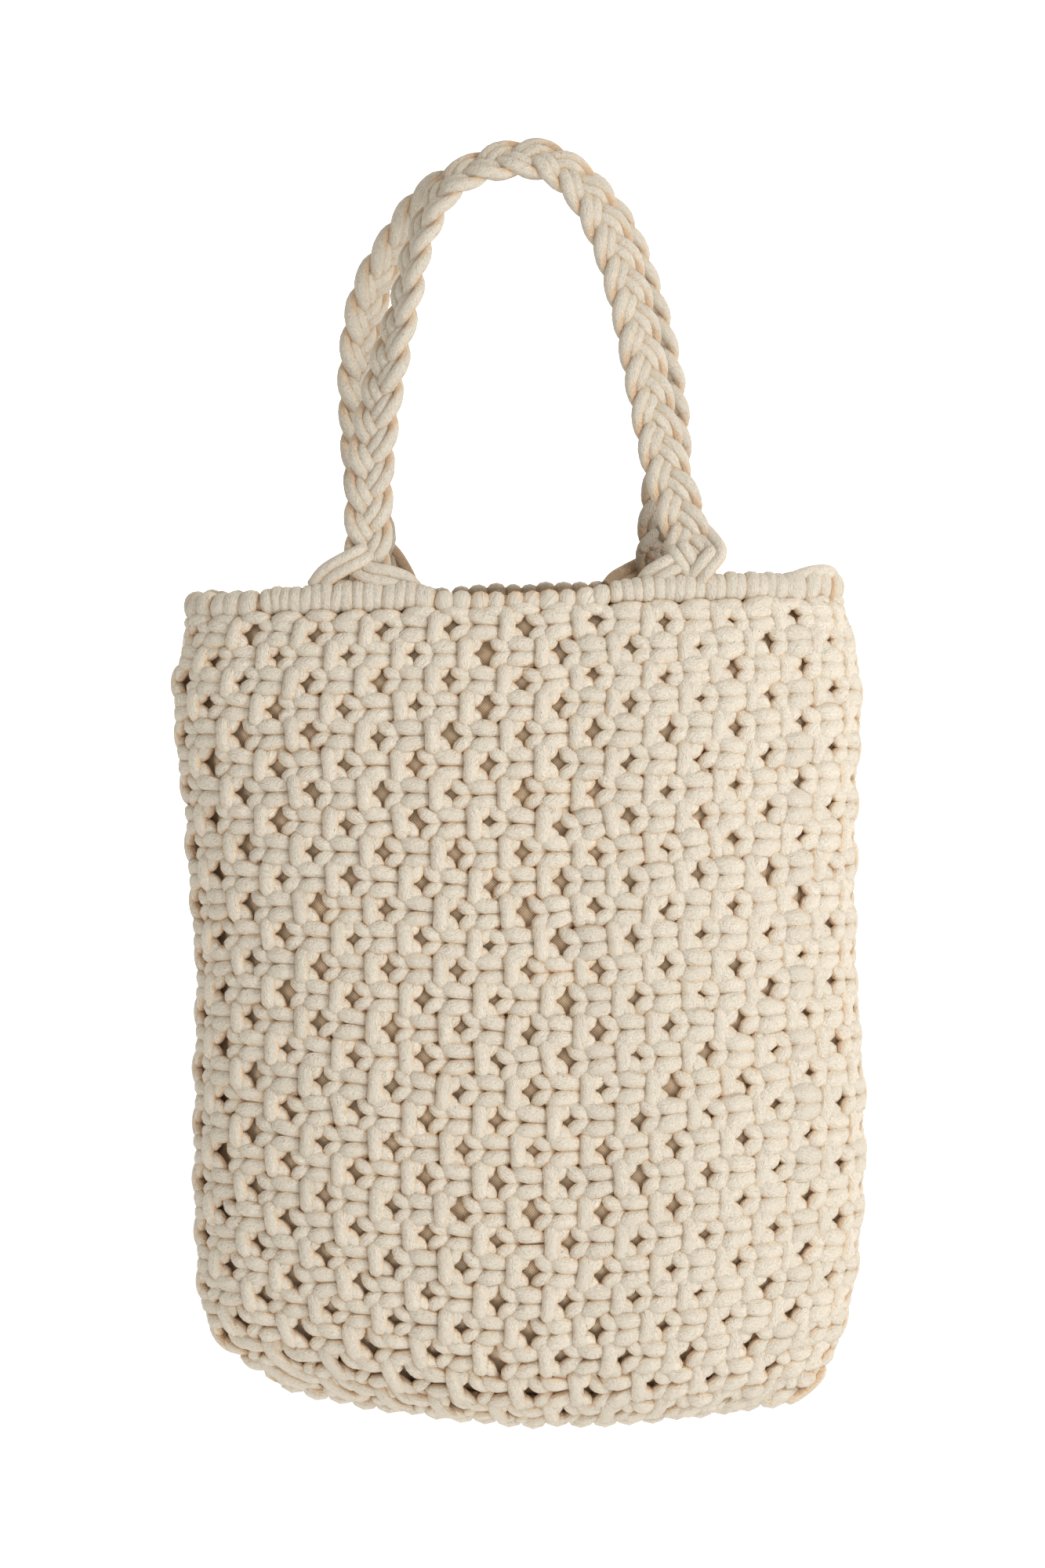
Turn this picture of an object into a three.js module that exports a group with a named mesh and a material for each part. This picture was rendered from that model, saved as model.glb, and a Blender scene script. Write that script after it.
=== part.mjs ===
// Knotted cotton cord tote, hanging from its two handles.
// A net of square knots is worked in the round and closed along the base. A wrapped rim
// binds its mouth, a woven lining shows through its gaps, and two braided handles carry it.
// Millimetres, +Z up, front towards -Y. The origin is the grip, under the top of both handles.
import * as THREE from "three";

// Driving dimensions
const HANDLE_DROP = 152.7; // grip down to the mean top of the rim
const BODY_SHIFT = -4.2; // middle of the rim, left of the grip
const BODY_TILT = -1.75; // degrees about Y: the bag hangs a little askew
const KNOTS_AROUND = 21;
const KNOT_ROWS = 29;
const NET_WALL = 11; // knots are about two cords thick
const KNOT_RISE = 0.9; // a knot stands this proud of the mean wall
const GAP_DIMPLE = 4.6; // and the spot between two knots lies this deep
const GAP_WIDTH = 6.6;
const GAP_HEIGHT = 11;
const OPEN_ROWS = [3, 8, 13, 18, 23]; // rows whose gaps are cut right through
const SECTION_POWER = 2.5; // superellipse: 2 is an ellipse, more is squarer
const RIM_CLEARANCE = 0.7; // between the net's top and the bars of the rim
const LINING_WALL = 1.2;
const LINING_SLACK = 0.6; // the cloth hangs this clear of the knots
const HEM_SHARE = 0.06; // its hem lies this far from the mouth towards the next section

// Wall of the bag, a row for each level from the mouth to the base seam.
// side and middle are drops below the rim at the bag's edge and at its centre line,
// width and depth are over the knots.
const LEVELS = [
  { side: 11.8, middle: 11.8, width: 253, depth: 72 },
  { side: 40.5, middle: 39.9, width: 260, depth: 80 },
  { side: 91.5, middle: 91.5, width: 258, depth: 88 },
  { side: 150.0, middle: 152.4, width: 254, depth: 92 },
  { side: 210.0, middle: 216.9, width: 257, depth: 94 },
  { side: 253.5, middle: 264.0, width: 255, depth: 88 },
  { side: 278.1, middle: 293.1, width: 245, depth: 74 },
  { side: 290.1, middle: 306.0, width: 236, depth: 60 },
  { side: 299.1, middle: 315.0, width: 222, depth: 40 },
  { side: 309.3, middle: 321.3, width: 198, depth: 16 },
];
const HOLLOW_FLOOR_LEVEL = 8; // the hollow ends where the walls are about to meet

// Waves of the rim, as lift around a place along the width.
// The handles pull it up, and its front sags between them.
const RIM_WAVES = [
  { x: -118, spread: 25, frontLift: 1.3, backLift: 1.3 },
  { x: -60, spread: 26, frontLift: 4.0, backLift: 3.0 },
  { x: 10, spread: 34, frontLift: -6.3, backLift: 2.6 },
  { x: 68, spread: 26, frontLift: 1.6, backLift: 2.6 },
  { x: 112, spread: 12, frontLift: 1.0, backLift: 1.0 },
];
const WAVE_REACH = 0.2; // share of the levels over which the waves die away

// Rim section: a roll of wraps round a carrier cord, over a row of half-hitch bars
const ROLL_DIAMETER = 9.4;
const ROLL_SIDES = 7;
const BAR_HEIGHT = 3.2;
const BAR_PROUD = 0.8;

// Braid of a handle: flat, with a groove along each face and strands that swell in turn
const BRAID_WIDTH = 18.6;
const BRAID_THICKNESS = 10.5;
const BRAID_GROOVE = 0.62; // thickness left in the groove
const STRAND_PITCH = 12; // from one strand to the next along an edge
const STEPS_PER_STRAND = 4;
const ROOT_WIDTH = 31; // cords fan out where they reach the rim
const ROOT_LENGTH = 17;

// Routes of the handles from the left root over the grip to the right root.
// roll turns the braid's flat face from facing the front (0) to lying on the grip (90).
const FRONT_ROUTE = [
  { x: -57.9, y: -28.6, z: -149.2, roll: 0 },
  { x: -57.6, y: -25.2, z: -124.2, roll: 12 },
  { x: -55.2, y: -22.4, z: -100.2, roll: 25 },
  { x: -49.8, y: -19.4, z: -73.2, roll: 38 },
  { x: -44.1, y: -16.6, z: -46.2, roll: 52 },
  { x: -37.2, y: -13.8, z: -20.1, roll: 66 },
  { x: -25.8, y: -11.8, z: -1.2, roll: 80 },
  { x: -8.4, y: -11.0, z: 7.4, roll: 90 },
  { x: 9.6, y: -11.0, z: 7.8, roll: 70 },
  { x: 23.4, y: -11.6, z: -4.2, roll: 42 },
  { x: 33.6, y: -13.2, z: -25.2, roll: 24 },
  { x: 41.1, y: -16.2, z: -52.2, roll: 12 },
  { x: 47.1, y: -19.8, z: -80.7, roll: 6 },
  { x: 53.7, y: -23.4, z: -108.0, roll: 0 },
  { x: 60.6, y: -26.0, z: -128.7, roll: 0 },
  { x: 67.8, y: -28.0, z: -148.4, roll: 0 },
];
const BACK_ROUTE = [
  { x: -57.0, y: 28.6, z: -150.2, roll: 0 },
  { x: -58.2, y: 25.6, z: -124.0, roll: 0 },
  { x: -60.6, y: 22.6, z: -97.0, roll: 0 },
  { x: -61.2, y: 19.4, z: -68.0, roll: 8 },
  { x: -57.6, y: 16.6, z: -40.2, roll: 24 },
  { x: -49.2, y: 14.2, z: -20.4, roll: 44 },
  { x: -35.7, y: 12.4, z: -3.0, roll: 66 },
  { x: -16.8, y: 11.2, z: 6.6, roll: 84 },
  { x: 4.2, y: 11.0, z: 9.0, roll: 90 },
  { x: 21.0, y: 11.2, z: 3.6, roll: 84 },
  { x: 33.3, y: 12.0, z: -12.6, roll: 70 },
  { x: 42.6, y: 14.6, z: -38.4, roll: 46 },
  { x: 49.8, y: 18.0, z: -68.4, roll: 26 },
  { x: 53.4, y: 22.2, z: -98.0, roll: 12 },
  { x: 53.7, y: 25.6, z: -124.2, roll: 0 },
  { x: 51.6, y: 28.8, z: -147.0, roll: 0 },
];

const COLUMNS = 2 * KNOTS_AROUND; // knots and gaps alternate around a row
const ARC_SAMPLES = 720;

// Collects corners and faces of one closed surface
class Skin {
  constructor() {
    this.positions = [];
    this.index = [];
  }

  corner(p) {
    this.positions.push(p.x, p.y, p.z);
    return this.positions.length / 3 - 1;
  }

  ring(points) {
    return points.map((p) => this.corner(p));
  }

  face(a, b, c) {
    this.index.push(a, b, c);
  }

  quad(a, b, c, d) {
    this.face(a, b, c);
    this.face(a, c, d);
  }

  // Band from an upper ring to a lower one
  band(upper, lower) {
    upper.forEach((a, c) => {
      const right = (c + 1) % upper.length;
      this.quad(a, lower[c], lower[right], upper[right]);
    });
  }

  // Strips across a ring, from its first and last corner to the two halfway round
  cap(ring, facesDown) {
    for (let low = 0, high = ring.length - 1; low + 1 < high; low++, high--) {
      const [a, b, c, d] = [low, low + 1, high - 1, high].map((i) => ring[i]);
      if (facesDown) this.quad(a, d, c, b);
      else this.quad(a, b, c, d);
    }
  }

  geometry() {
    const geometry = new THREE.BufferGeometry();
    geometry.setAttribute("position", new THREE.Float32BufferAttribute(this.positions, 3));
    geometry.setIndex(this.index);
    geometry.computeVertexNormals();
    return geometry;
  }
}

// Body: smooth curves through the levels, read at any share of the way down
const heights = new THREE.CatmullRomCurve3(
  LEVELS.map((l) => new THREE.Vector3(l.side, l.middle, 0)),
);
const sizes = new THREE.CatmullRomCurve3(
  LEVELS.map((l) => new THREE.Vector3(l.width / 2, l.depth / 2, 0)),
);
const meridian = new THREE.CatmullRomCurve3(
  LEVELS.map((l) => new THREE.Vector3(0, l.depth / 2, -l.middle)),
);
const rowLevel = (row) => meridian.getUtoTmapping((row + 0.5) / KNOT_ROWS);
const floorLevel = HOLLOW_FLOOR_LEVEL / (LEVELS.length - 1);

function rimLift(x, front) {
  return RIM_WAVES.reduce((sum, wave) => {
    const reach = (x - wave.x) / wave.spread;
    return sum + (front ? wave.frontLift : wave.backLift) * Math.exp(-reach * reach);
  }, 0);
}

// One section of the body, evenly spaced along its outline from the left edge by way of the front.
// The edge lies halfway between the last place and the first.
function bodyRing(level, inset) {
  const { x: side, y: middle } = heights.getPoint(level);
  const size = sizes.getPoint(level);
  const bend = (v) => Math.sign(v) * Math.abs(v) ** (2 / SECTION_POWER);
  const fade = Math.max(0, 1 - level / WAVE_REACH) ** 2;
  const outline = [];
  const run = [0];
  for (let i = 0; i <= ARC_SAMPLES; i++) {
    const angle = Math.PI + (2 * Math.PI * i) / ARC_SAMPLES;
    const across = bend(Math.cos(angle));
    const x = (size.x - inset) * across;
    const y = (size.y - inset) * bend(Math.sin(angle));
    const drop = side + (middle - side) * (1 - across * across);
    outline.push(new THREE.Vector3(x, y, fade * rimLift(x, y < 0) - drop));
    if (i > 0) run.push(run[i - 1] + Math.hypot(x - outline[i - 1].x, y - outline[i - 1].y));
  }
  const ring = [];
  let i = 1;
  for (let c = 0; c < COLUMNS; c++) {
    const target = (run[ARC_SAMPLES] * (c + 0.5)) / COLUMNS;
    while (run[i] < target) i++;
    const share = (target - run[i - 1]) / (run[i] - run[i - 1]);
    ring.push(outline[i - 1].clone().lerp(outline[i], share));
  }
  return ring;
}

// Outward direction of the wall at each place of a section
function ringNormals(level) {
  const step = 0.01;
  const here = bodyRing(level, 0);
  const above = bodyRing(Math.max(0, level - step), 0);
  const below = bodyRing(Math.min(1, level + step), 0);
  return here.map((_, c) => {
    const along = here[(c + 1) % COLUMNS].clone().sub(here[(c + COLUMNS - 1) % COLUMNS]);
    return along.cross(above[c].clone().sub(below[c])).normalize();
  });
}

const isKnot = (row, column) => (row + column) % 2 !== 0;

// Lattice of one row: knots stand proud and the spots between them sink
function knotRing(row) {
  const level = rowLevel(row);
  const normals = ringNormals(level);
  return bodyRing(level, KNOT_RISE).map((p, c) =>
    p.addScaledVector(normals[c], isKnot(row, c) ? KNOT_RISE : -GAP_DIMPLE),
  );
}

// Sections of the hollow from the mouth to its floor, with one at each open row
const FLOOR_ROW = 2 * OPEN_ROWS.at(-1) - OPEN_ROWS.at(-2);
const MOUTH_ROW = 2 * OPEN_ROWS[0] - OPEN_ROWS[1];
const HOLLOW_ROWS = [MOUTH_ROW, ...OPEN_ROWS, FLOOR_ROW];
function hollowRings() {
  const levels = [0, ...OPEN_ROWS.map(rowLevel), floorLevel];
  return levels.map((level) => bodyRing(level, NET_WALL));
}

// Lays the rows of a lattice over a skin. Each quad is split between its two knots.
// A gap in an open row leaves a diamond hole, whose corners lie on the way to its neighbours.
function layLattice(skin, rows, rings, { outward, open }) {
  const corners = rings.map((points) => skin.ring(points));
  const holes = new Map();
  const isHole = (r, c) => open.includes(rows[r]) && !isKnot(rows[r], c);
  const holeCorner = ([r, c], [nr, nc]) => {
    const key = `${rows[r]}/${c}`;
    const side = nr === r ? (nc === (c + 1) % COLUMNS ? "right" : "left") : nr < r ? "up" : "down";
    if (!holes.has(key)) holes.set(key, {});
    const hole = holes.get(key);
    if (hole[side] === undefined) {
      const from = rings[r][c];
      const to = rings[nr][nc];
      const reach = (nr === r ? GAP_WIDTH : GAP_HEIGHT) / 2;
      hole[side] = skin.corner(from.clone().lerp(to, reach / from.distanceTo(to)));
    }
    return hole[side];
  };
  const cell = (gap, a, b) => {
    const at = ([r, c]) => corners[r][c];
    const face = (p, q, s) => (outward ? skin.face(p, q, s) : skin.face(p, s, q));
    if (!isHole(...gap)) {
      face(at(gap), at(a), at(b));
      return;
    }
    const nearA = holeCorner(gap, a);
    const nearB = holeCorner(gap, b);
    face(nearA, at(a), at(b));
    face(nearA, at(b), nearB);
  };
  for (let r = 0; r + 1 < rings.length; r++) {
    for (let c = 0; c < COLUMNS; c++) {
      const right = (c + 1) % COLUMNS;
      const [a, b, d, e] = [[r, c], [r, right], [r + 1, c], [r + 1, right]];
      if (isKnot(rows[r], c)) {
        cell(b, a, e);
        cell(d, e, a);
      } else {
        cell(a, d, b);
        cell(e, b, d);
      }
    }
  }
  return { corners, holes };
}

function netGeometry() {
  const skin = new Skin();
  const rows = [...Array(KNOT_ROWS).keys()];
  const outerRows = [-1, ...rows, KNOT_ROWS];
  const outerRings = [bodyRing(0, KNOT_RISE), ...rows.map(knotRing), bodyRing(1, KNOT_RISE)];
  const open = OPEN_ROWS;
  const outer = layLattice(skin, outerRows, outerRings, { outward: true, open });
  const inner = layLattice(skin, HOLLOW_ROWS, hollowRings(), { outward: false, open });
  skin.band(inner.corners[0], outer.corners[0]);
  skin.cap(outer.corners.at(-1), true);
  skin.cap(inner.corners.at(-1), false);
  for (const [key, out] of outer.holes) {
    const back = inner.holes.get(key);
    const sides = ["left", "down", "right", "up"];
    sides.forEach((side, i) => {
      const next = sides[(i + 1) % sides.length];
      skin.quad(out[side], out[next], back[next], back[side]);
    });
  }
  return skin.geometry();
}

// A ring with every side moved in by one distance
function shrunkRing(ring, distance) {
  const sides = ring.map((p, c) => {
    const next = ring[(c + 1) % ring.length];
    return new THREE.Vector2(next.y - p.y, p.x - next.x).normalize();
  });
  return ring.map((p, c) => {
    const before = sides[(c + ring.length - 1) % ring.length];
    const after = sides[c];
    const move = before.clone().add(after).multiplyScalar(distance / (1 + before.dot(after)));
    return new THREE.Vector3(p.x - move.x, p.y - move.y, p.z);
  });
}

// Lining: a thin cloth bag that follows the inside of the net
function liningGeometry() {
  const side = (slack) => {
    const rings = hollowRings().map((ring) => shrunkRing(ring, slack));
    rings[0].forEach((p, c) => p.lerp(rings[1][c], HEM_SHARE));
    rings.at(-1).forEach((p) => (p.z += slack));
    return rings;
  };
  const skin = new Skin();
  const open = [];
  const faceOut = { outward: true, open };
  const faceIn = { outward: false, open };
  const outer = layLattice(skin, HOLLOW_ROWS, side(LINING_SLACK), faceOut);
  const inner = layLattice(skin, HOLLOW_ROWS, side(LINING_SLACK + LINING_WALL), faceIn);
  skin.band(inner.corners[0], outer.corners[0]);
  skin.cap(outer.corners.at(-1), true);
  skin.cap(inner.corners.at(-1), false);
  return skin.geometry();
}

// Rim: the roll and the bars below it, swept around the mouth
function rimGeometry() {
  const roll = ROLL_DIAMETER / 2;
  const half = NET_WALL / 2;
  const section = [];
  for (let i = 0; i < ROLL_SIDES; i++) {
    const angle = THREE.MathUtils.degToRad(-40 + (260 * i) / (ROLL_SIDES - 1));
    section.push({ out: roll * Math.cos(angle), up: BAR_HEIGHT + roll * (0.8 + Math.sin(angle)) });
  }
  section.push({ out: -half, up: BAR_HEIGHT / 2 });
  section.push({ out: -half * 0.9, up: 0 });
  section.push({ out: half * 0.9, up: 0 });
  section.push({ out: half + BAR_PROUD, up: BAR_HEIGHT / 2 });
  const foot = bodyRing(0, half);
  const normals = ringNormals(0).map((n) => n.setZ(0).normalize());
  const skin = new Skin();
  const rings = foot.map((p, c) =>
    skin.ring(
      section.map(({ out, up }) => {
        const point = p.clone().addScaledVector(normals[c], out);
        return point.setZ(p.z + RIM_CLEARANCE + up);
      }),
    ),
  );
  rings.forEach((ring, c) => skin.band(ring, rings[(c + 1) % rings.length]));
  return skin.geometry();
}

// Handle: the braid's section carried along its route, with the strands swelling in turn
function braidGeometry(route) {
  const path = new THREE.CatmullRomCurve3(route.map((p) => new THREE.Vector3(p.x, p.y, p.z)));
  const rolls = new THREE.CatmullRomCurve3(route.map((p) => new THREE.Vector3(p.roll, 0, 0)));
  const length = path.getLength();
  const strands = Math.round(length / STRAND_PITCH);
  const steps = strands * STEPS_PER_STRAND;
  const skin = new Skin();
  const rings = [];
  for (let s = 0; s <= steps; s++) {
    const share = s / steps;
    const middle = path.getPointAt(share);
    const fromRoot = Math.min(share, 1 - share) * length;
    const fan = Math.max(0, 1 - fromRoot / ROOT_LENGTH) ** 2;
    const upright = new THREE.Vector3(0, 0, share < 0.5 ? 1 : -1);
    const along = path.getTangentAt(share).lerp(upright, fan).normalize();
    const flat = new THREE.Vector3(0, 1, 0).cross(along).normalize();
    const face = along.clone().cross(flat);
    const roll = THREE.MathUtils.degToRad(rolls.getPoint(path.getUtoTmapping(share)).x);
    const halfWidth = (BRAID_WIDTH + (ROOT_WIDTH - BRAID_WIDTH) * fan) / 2;
    const half = BRAID_THICKNESS / 2;
    const turn = (2 * Math.PI * s) / STEPS_PER_STRAND;
    const left = 0.5 + 0.5 * Math.cos(turn);
    const right = 1 - left;
    const section = [
      { out: halfWidth * (0.9 + 0.1 * right), up: 0 },
      { out: halfWidth * 0.55, up: half * (0.8 + 0.2 * right) },
      { out: 0, up: half * BRAID_GROOVE },
      { out: -halfWidth * 0.55, up: half * (0.8 + 0.2 * left) },
      { out: -halfWidth * (0.9 + 0.1 * left), up: 0 },
      { out: -halfWidth * 0.55, up: -half * (0.8 + 0.2 * left) },
      { out: 0, up: -half * BRAID_GROOVE },
      { out: halfWidth * 0.55, up: -half * (0.8 + 0.2 * right) },
    ];
    const points = section.map(({ out, up }) => {
      const across = out * Math.cos(roll) - up * Math.sin(roll);
      const through = out * Math.sin(roll) + up * Math.cos(roll);
      return middle.clone().addScaledVector(flat, across).addScaledVector(face, through);
    });
    rings.push(skin.ring(points));
  }
  for (let s = 0; s < steps; s++) skin.band(rings[s + 1], rings[s]);
  skin.cap(rings[0], true);
  skin.cap(rings[steps], false);
  return skin.geometry();
}

// Materials
const netCord = new THREE.MeshStandardMaterial({ color: 0xe3d7c3, roughness: 0.95 });
const rimCord = new THREE.MeshStandardMaterial({ color: 0xe6dbc8, roughness: 0.95 });
const handleCord = new THREE.MeshStandardMaterial({ color: 0xe4dac8, roughness: 0.95 });
const liningCloth = new THREE.MeshStandardMaterial({ color: 0xcbbfa9, roughness: 1 });

function piece(name, geometry, material) {
  const mesh = new THREE.Mesh(geometry, material);
  mesh.name = name;
  return mesh;
}

// Assembly
const bag = new THREE.Group();
bag.add(piece("knotted_body", netGeometry(), netCord));
bag.add(piece("lining", liningGeometry(), liningCloth));
bag.add(piece("rim_band", rimGeometry(), rimCord));
bag.position.set(BODY_SHIFT, 0, -HANDLE_DROP);
bag.rotation.y = THREE.MathUtils.degToRad(BODY_TILT);

const handles = new THREE.Group();
handles.add(piece("handle_front", braidGeometry(FRONT_ROUTE), handleCord));
handles.add(piece("handle_back", braidGeometry(BACK_ROUTE), handleCord));

const tote = new THREE.Group();
tote.add(bag, handles);

export default tote;
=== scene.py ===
import math

import bpy
import numpy as np
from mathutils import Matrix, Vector


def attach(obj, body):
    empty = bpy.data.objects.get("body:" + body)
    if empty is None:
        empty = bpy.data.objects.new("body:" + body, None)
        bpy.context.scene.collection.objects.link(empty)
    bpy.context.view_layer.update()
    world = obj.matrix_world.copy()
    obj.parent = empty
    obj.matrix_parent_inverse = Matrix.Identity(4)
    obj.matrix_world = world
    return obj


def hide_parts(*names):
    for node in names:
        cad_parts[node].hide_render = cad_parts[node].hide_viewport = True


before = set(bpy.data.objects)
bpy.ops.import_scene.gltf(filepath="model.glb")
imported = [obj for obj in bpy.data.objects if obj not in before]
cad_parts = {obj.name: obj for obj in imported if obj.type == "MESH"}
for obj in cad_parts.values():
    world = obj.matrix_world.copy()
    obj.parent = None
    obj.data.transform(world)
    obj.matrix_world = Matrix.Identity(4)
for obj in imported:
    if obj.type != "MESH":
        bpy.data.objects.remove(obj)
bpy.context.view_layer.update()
bpy.ops.object.select_all(action="DESELECT")
chance = np.random.default_rng(7)

# the bag's form in metres; drops are below the top of the rim
bag = {
    "drop": 0.1527,
    "shift": -0.0032,
    "tilt": math.radians(-1.75),
    "columns": 42,
    "rows": 28,
    "squareness": 2.25,
    "toMiddle": 0.0063,  # from the crowns of the knots to the middle of the wall
    # side drop, middle drop, width, depth, how far the rows turn level again, how far the sides shift
    "levels": [
        (0.0118, 0.0118, 0.255, 0.072, 0.000, 0.0),
        (0.0334, 0.0360, 0.265, 0.080, 0.004, 0.0),
        (0.0820, 0.0868, 0.261, 0.088, 0.010, 0.0),
        (0.1418, 0.1476, 0.256, 0.092, 0.020, 0.0),
        (0.2040, 0.2122, 0.259, 0.093, 0.034, -0.0002),
        (0.2500, 0.2610, 0.257, 0.085, 0.044, -0.0022),
        (0.2770, 0.2910, 0.250, 0.068, 0.050, -0.0046),
        (0.2890, 0.3045, 0.241, 0.052, 0.052, -0.0042),
        (0.2970, 0.3125, 0.229, 0.036, 0.054, -0.0020),
        (0.3060, 0.3172, 0.204, 0.018, 0.056, -0.0005),
    ],
    "sag": 1.6,  # how pointed the sag of the rows is, 2 for a round one
    # how the columns of knots slide to the right and spread out under the rim
    "slide": 0.08,
    "topSlide": 0.2,
    "topSpread": 0.06,
    "topRows": 8,
    "rise": 0.62,  # how many rows higher than their even share the rows sit
    "riseOver": (4, 18, 3),  # rows over which that starts, is reached, and ends at the base
    # even steps down and around in the table of the wall, and where it starts above the net
    "stepsDown": 190,
    "stepsRound": 505,
    "fineSteps": 1441,
    "aboveNet": -0.05,
}
upright = np.array([math.sin(bag["tilt"]), 0, math.cos(bag["tilt"])])


def smoothThrough(at, places, values):
    # a smooth curve through values at rising places, straight past its ends
    slopes = np.gradient(values, places, axis=0)
    i = np.clip(np.searchsorted(places, at, side="right") - 1, 0, len(places) - 2)
    gap = places[i + 1] - places[i]
    t = ((at - places[i]) / gap)[:, None]
    gap = gap[:, None]
    inside = (
        (2 * t**3 - 3 * t**2 + 1) * values[i]
        + (t**3 - 2 * t**2 + t) * gap * slopes[i]
        + (3 * t**2 - 2 * t**3) * values[i + 1]
        + (t**3 - t**2) * gap * slopes[i + 1]
    )
    before = values[0] + (t * gap) * slopes[0]
    return np.where(t < 0, before, inside)


def unit(v):
    return v / np.maximum(np.linalg.norm(v, axis=-1, keepdims=True), 1e-12)


def runAlong(points, power=1.0):
    # how far along a line each of its points lies
    steps = np.linalg.norm(np.diff(points, axis=0), axis=1) ** power
    return np.concatenate([[0], np.cumsum(steps)])


def ease(t):
    # from 0 to 1 with a soft start and end
    t = np.clip(t, 0, 1)
    return t**2 * (3 - 2 * t)


def squared(v):
    # draws a round outline towards a box
    return np.sign(v) * np.abs(v) ** (2 / bag["squareness"])


def wallTable():
    # the middle of the net's wall and its outward directions, in even steps down and around
    levels = np.array(bag["levels"])
    steps = np.hypot(np.diff(levels[:, 1]), np.diff(levels[:, 3]) / 2)
    depthDown = np.concatenate([[0], np.cumsum(steps)])
    down = np.linspace(bag["aboveNet"], 1, bag["stepsDown"])
    side, middle, width, depth, level, shift = smoothThrough(
        down * depthDown[-1], depthDown, levels
    ).T
    angle = np.linspace(math.pi, 3 * math.pi, bag["fineSteps"])
    across, through = squared(np.cos(angle)), squared(np.sin(angle))
    around = np.linspace(0, 1, bag["stepsRound"])
    table = np.zeros((len(down), len(around), 3))
    for k in range(len(down)):
        x = (width[k] / 2 - bag["toMiddle"]) * across
        y = (depth[k] / 2 - bag["toMiddle"]) * through
        sag = (middle[k] - side[k]) * (1 - np.abs(across) ** bag["sag"])
        z = -side[k] - sag - level[k] * x
        x = x + shift[k] * across**2
        run = np.concatenate([[0], np.cumsum(np.hypot(np.diff(x), np.diff(y)))])
        for n, v in enumerate((x, y, z)):
            table[k, :, n] = np.interp(around * run[-1], run, v)
    alongDown = np.gradient(table, axis=0)
    closed = np.concatenate([table[:, -3:-1], table, table[:, 1:3]], axis=1)
    alongRound = np.gradient(closed, axis=1)[:, 2:-2]
    out = unit(np.cross(alongDown, alongRound))
    if out[len(down) // 2, len(around) // 4, 1] > 0:  # the middle of the front has to face -Y
        out = -out
    return down, table, out


downSteps, wall, wallOut = wallTable()


def toFrame(v):
    # turns a direction of the upright bag to the way that the bag hangs
    c, s = math.cos(bag["tilt"]), math.sin(bag["tilt"])
    x, y, z = v[..., 0], v[..., 1], v[..., 2]
    return np.stack([x * c + z * s, y, z * c - x * s], axis=-1)


def onWall(column, row, out):
    # a point of the net by its column, row and height over the wall's middle, and the way out there
    column, row = np.asarray(column, float), np.asarray(row, float)
    top = np.clip(1 - row / bag["topRows"], 0, 1) ** 2
    share = (column + 0.5 + bag["slide"] + bag["topSlide"] * top) / bag["columns"]
    share = share - bag["topSpread"] * top * np.sin(4 * math.pi * share) / (4 * math.pi)
    a = (share % 1) * (wall.shape[1] - 1)
    soon, late, gone = bag["riseOver"]
    rise = bag["rise"] * (ease((row + 0.5) / soon) + ease(row / late)) / 2
    rise = rise * ease((bag["rows"] - 0.5 - row) / gone)
    d = (row + 0.5 - rise) / bag["rows"]
    d = np.clip((d - downSteps[0]) / (downSteps[1] - downSteps[0]), 0, wall.shape[0] - 1.001)
    a0, d0 = np.minimum(a.astype(int), wall.shape[1] - 2), d.astype(int)
    fa, fd = (a - a0)[..., None], (d - d0)[..., None]

    def between(t):
        upper = (1 - fa) * t[d0, a0] + fa * t[d0, a0 + 1]
        lower = (1 - fa) * t[d0 + 1, a0] + fa * t[d0 + 1, a0 + 1]
        return (1 - fd) * upper + fd * lower

    normal = unit(between(wallOut))
    place = between(wall) + np.asarray(out, float)[..., None] * normal
    return toFrame(place) + np.array([bag["shift"], 0, -bag["drop"]]), toFrame(normal)


# the cotton of every cord: pale on the crowns, with painted warm shade on the flanks and in the creases
cotton = {
    "crease": (0.82, 0.58, 0.38),
    "flank": (0.84, 0.69, 0.51),
    "crown": (0.81, 0.73, 0.61),
    # where the colours lie from the creases to the crowns, and how far that wanders with the lumps
    "creaseAt": 0.16,
    "flankAt": 0.52,
    "crownAt": 0.88,
    "wander": 0.45,
    # what makes a crown: facing out, and standing out as far as proud
    "facing": 0.55,
    "facingFrom": 0.1,
    "standing": 0.45,
    "proud": 0.0042,
    "twist": 110,
    "startWithin": 4,  # each cord's pattern starts somewhere in so many metres
    "husk": (0.42, 0.29, 0.18, 1),
    "huskScale": 900.0,
    "streakScale": (1000, 2400, 2400),
    "lumpScale": 340,
    "grainScale": 1700,
    "grainShare": 0.9,
}


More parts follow.
